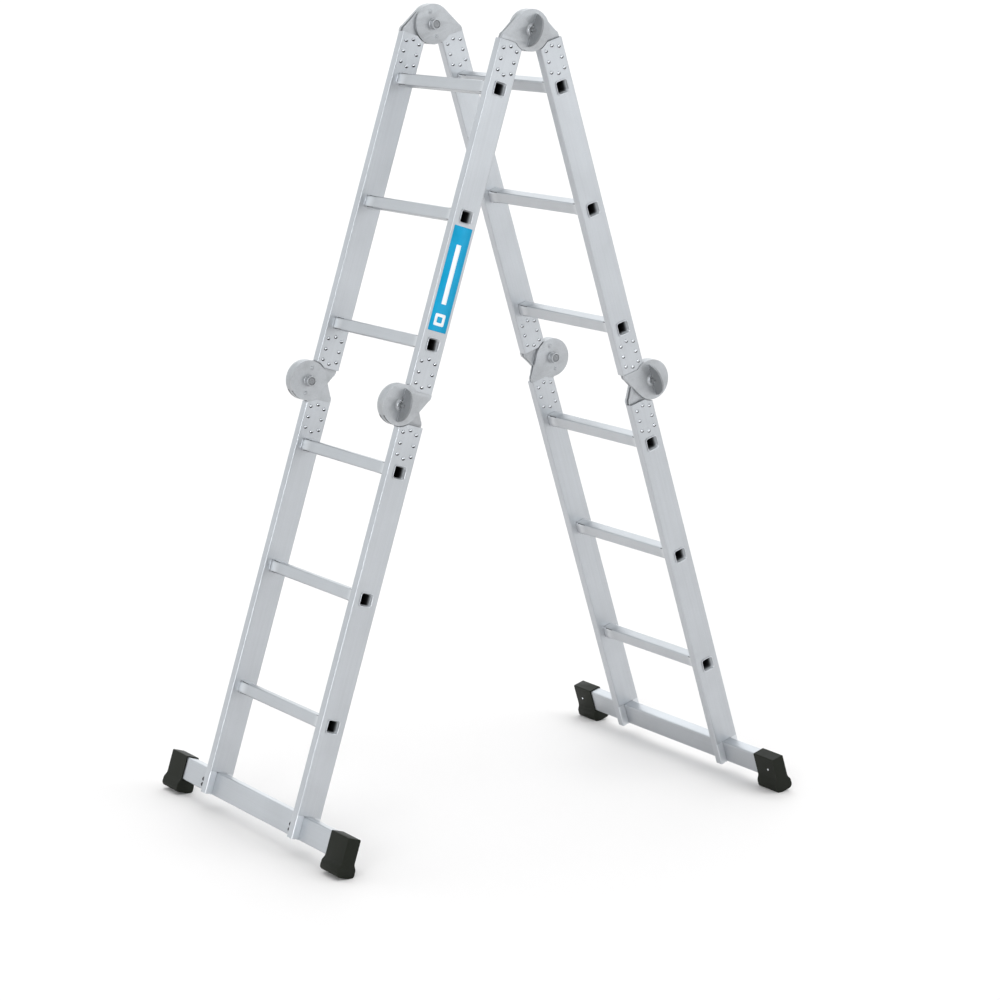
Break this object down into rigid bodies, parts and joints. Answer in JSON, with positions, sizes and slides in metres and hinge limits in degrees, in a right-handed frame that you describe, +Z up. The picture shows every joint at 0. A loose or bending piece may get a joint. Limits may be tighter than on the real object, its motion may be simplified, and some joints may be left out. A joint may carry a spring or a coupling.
{
  "type": "multi position ladder",
  "caption": "Folding aluminium ladder of hinged sections, standing as an A-frame on stabiliser bars with moulded feet.",
  "frame": {"origin": "on the floor, midway between the four feet", "axes": "+X along the rungs, +Y from the front leg to the rear leg, +Z up"},
  "size_m": [0.794, 1.2078, 1.7737],
  "materials": {
    "extruded_aluminium": "satin mill-finish extrusion with fine lengthwise lines",
    "rung_aluminium": "satin extrusion, ribbed on the treads",
    "zinc_plated_steel": "pressed steel plate with dull zinc plating",
    "cast_grip": "die-cast, fine matt surface",
    "bright_steel": "bright turned steel",
    "black_plastic": "moulded, fine matt grain"
  },
  "bodies": {
    "front_upper": {"front_upper_rail_right": "extruded_aluminium", "front_upper_rail_left": "extruded_aluminium", "front_upper_rung_1": "rung_aluminium", "front_upper_rung_2": "rung_aluminium", "front_upper_rung_3": "rung_aluminium", "top_hinge_right_outer_fork": "zinc_plated_steel", "top_hinge_right_axle": "zinc_plated_steel", "top_hinge_left_outer_fork": "zinc_plated_steel", "top_hinge_left_axle": "zinc_plated_steel", "front_hinge_right_outer_fork": "zinc_plated_steel", "front_hinge_right_axle": "zinc_plated_steel", "front_hinge_left_outer_fork": "zinc_plated_steel", "front_hinge_left_axle": "zinc_plated_steel"},
    "front_lower": {"front_lower_rail_right": "extruded_aluminium", "front_lower_rail_left": "extruded_aluminium", "front_lower_rung_1": "rung_aluminium", "front_lower_rung_2": "rung_aluminium", "front_lower_rung_3": "rung_aluminium", "front_stabiliser_screws_1": "bright_steel", "front_stabiliser_screws_2": "bright_steel", "front_stabiliser_bar": "extruded_aluminium", "front_foot_right": "black_plastic", "front_foot_left": "black_plastic", "front_hinge_right_inner_fork": "zinc_plated_steel", "front_hinge_left_inner_fork": "zinc_plated_steel"},
    "rear_upper": {"rear_upper_rail_right": "extruded_aluminium", "rear_upper_rail_left": "extruded_aluminium", "rear_upper_rung_1": "rung_aluminium", "rear_upper_rung_2": "rung_aluminium", "rear_upper_rung_3": "rung_aluminium", "top_hinge_right_inner_fork": "zinc_plated_steel", "top_hinge_left_inner_fork": "zinc_plated_steel", "rear_hinge_right_outer_fork": "zinc_plated_steel", "rear_hinge_right_axle": "zinc_plated_steel", "rear_hinge_left_outer_fork": "zinc_plated_steel", "rear_hinge_left_axle": "zinc_plated_steel"},
    "rear_lower": {"rear_lower_rail_right": "extruded_aluminium", "rear_lower_rail_left": "extruded_aluminium", "rear_lower_rung_1": "rung_aluminium", "rear_lower_rung_2": "rung_aluminium", "rear_lower_rung_3": "rung_aluminium", "rear_stabiliser_screws_1": "bright_steel", "rear_stabiliser_screws_2": "bright_steel", "rear_stabiliser_bar": "extruded_aluminium", "rear_foot_right": "black_plastic", "rear_foot_left": "black_plastic", "rear_hinge_right_inner_fork": "zinc_plated_steel", "rear_hinge_left_inner_fork": "zinc_plated_steel"},
    "top_hinge_right_spindle": {"top_hinge_right_lock_spindle": "bright_steel"},
    "top_hinge_right_grip": {"top_hinge_right_release_grip": "cast_grip"},
    "top_hinge_left_spindle": {"top_hinge_left_lock_spindle": "bright_steel"},
    "top_hinge_left_grip": {"top_hinge_left_release_grip": "cast_grip"},
    "front_hinge_right_spindle": {"front_hinge_right_lock_spindle": "bright_steel"},
    "front_hinge_right_grip": {"front_hinge_right_release_grip": "cast_grip"},
    "front_hinge_left_spindle": {"front_hinge_left_lock_spindle": "bright_steel"},
    "front_hinge_left_grip": {"front_hinge_left_release_grip": "cast_grip"},
    "rear_hinge_right_spindle": {"rear_hinge_right_lock_spindle": "bright_steel"},
    "rear_hinge_right_grip": {"rear_hinge_right_release_grip": "cast_grip"},
    "rear_hinge_left_spindle": {"rear_hinge_left_lock_spindle": "bright_steel"},
    "rear_hinge_left_grip": {"rear_hinge_left_release_grip": "cast_grip"}
  },
  "joints": [
    {"name": "top_fold", "type": "hinge", "parent": "front_upper", "child": "rear_upper", "pos_m": [0, 0, 1.72871], "axis": [-1, 0, 0], "range_deg": [-145.1, 34.9]},
    {"name": "front_fold", "type": "hinge", "parent": "front_upper", "child": "front_lower", "pos_m": [0, -0.32821, 0.95136], "axis": [-1, 0, 0], "range_deg": [0, 180]},
    {"name": "rear_fold", "type": "hinge", "parent": "rear_upper", "child": "rear_lower", "pos_m": [0, 0.32821, 0.95136], "axis": [1, 0, 0], "range_deg": [0, 180]},
    {"name": "top_hinge_right_spindle_slide", "type": "slide", "parent": "front_upper", "child": "top_hinge_right_spindle", "axis": [1, 0, 0], "range_m": [0, 0.0073], "stiffness_N_per_m": 1200, "springref_m": -0.004},
    {"name": "top_hinge_right_grip_tilt", "type": "hinge", "parent": "top_hinge_right_spindle", "child": "top_hinge_right_grip", "pos_m": [0.2243, 0, 1.72871], "axis": [0, 0.954, -0.2999], "range_deg": [0, 12]},
    {"name": "top_hinge_left_spindle_slide", "type": "slide", "parent": "front_upper", "child": "top_hinge_left_spindle", "axis": [-1, 0, 0], "range_m": [0, 0.0073], "stiffness_N_per_m": 1200, "springref_m": -0.004},
    {"name": "top_hinge_left_grip_tilt", "type": "hinge", "parent": "top_hinge_left_spindle", "child": "top_hinge_left_grip", "pos_m": [-0.2243, 0, 1.72871], "axis": [0, 0.954, -0.2999], "range_deg": [0, 12]},
    {"name": "front_hinge_right_spindle_slide", "type": "slide", "parent": "front_upper", "child": "front_hinge_right_spindle", "axis": [1, 0, 0], "range_m": [0, 0.0073], "stiffness_N_per_m": 1200, "springref_m": -0.004},
    {"name": "front_hinge_right_grip_tilt", "type": "hinge", "parent": "front_hinge_right_spindle", "child": "front_hinge_right_grip", "pos_m": [0.2243, -0.32821, 0.95136], "axis": [0, 0.954, -0.2999], "range_deg": [0, 12]},
    {"name": "front_hinge_left_spindle_slide", "type": "slide", "parent": "front_upper", "child": "front_hinge_left_spindle", "axis": [-1, 0, 0], "range_m": [0, 0.0073], "stiffness_N_per_m": 1200, "springref_m": -0.004},
    {"name": "front_hinge_left_grip_tilt", "type": "hinge", "parent": "front_hinge_left_spindle", "child": "front_hinge_left_grip", "pos_m": [-0.2243, -0.32821, 0.95136], "axis": [0, 0.954, -0.2999], "range_deg": [0, 12]},
    {"name": "rear_hinge_right_spindle_slide", "type": "slide", "parent": "rear_upper", "child": "rear_hinge_right_spindle", "axis": [1, 0, 0], "range_m": [0, 0.0073], "stiffness_N_per_m": 1200, "springref_m": -0.004},
    {"name": "rear_hinge_right_grip_tilt", "type": "hinge", "parent": "rear_hinge_right_spindle", "child": "rear_hinge_right_grip", "pos_m": [0.2243, 0.32821, 0.95136], "axis": [0, 0.954, 0.2999], "range_deg": [0, 12]},
    {"name": "rear_hinge_left_spindle_slide", "type": "slide", "parent": "rear_upper", "child": "rear_hinge_left_spindle", "axis": [-1, 0, 0], "range_m": [0, 0.0073], "stiffness_N_per_m": 1200, "springref_m": -0.004},
    {"name": "rear_hinge_left_grip_tilt", "type": "hinge", "parent": "rear_hinge_left_spindle", "child": "rear_hinge_left_grip", "pos_m": [-0.2243, 0.32821, 0.95136], "axis": [0, 0.954, 0.2999], "range_deg": [0, 12]}
  ],
  "couplings": [
    {"joint": "top_hinge_right_grip_tilt", "follows": "top_hinge_right_spindle_slide", "rad_per_m": 28.65},
    {"joint": "top_hinge_left_grip_tilt", "follows": "top_hinge_left_spindle_slide", "rad_per_m": 28.65},
    {"joint": "front_hinge_right_grip_tilt", "follows": "front_hinge_right_spindle_slide", "rad_per_m": 28.65},
    {"joint": "front_hinge_left_grip_tilt", "follows": "front_hinge_left_spindle_slide", "rad_per_m": 28.65},
    {"joint": "rear_hinge_right_grip_tilt", "follows": "rear_hinge_right_spindle_slide", "rad_per_m": 28.65},
    {"joint": "rear_hinge_left_grip_tilt", "follows": "rear_hinge_left_spindle_slide", "rad_per_m": 28.65}
  ]
}
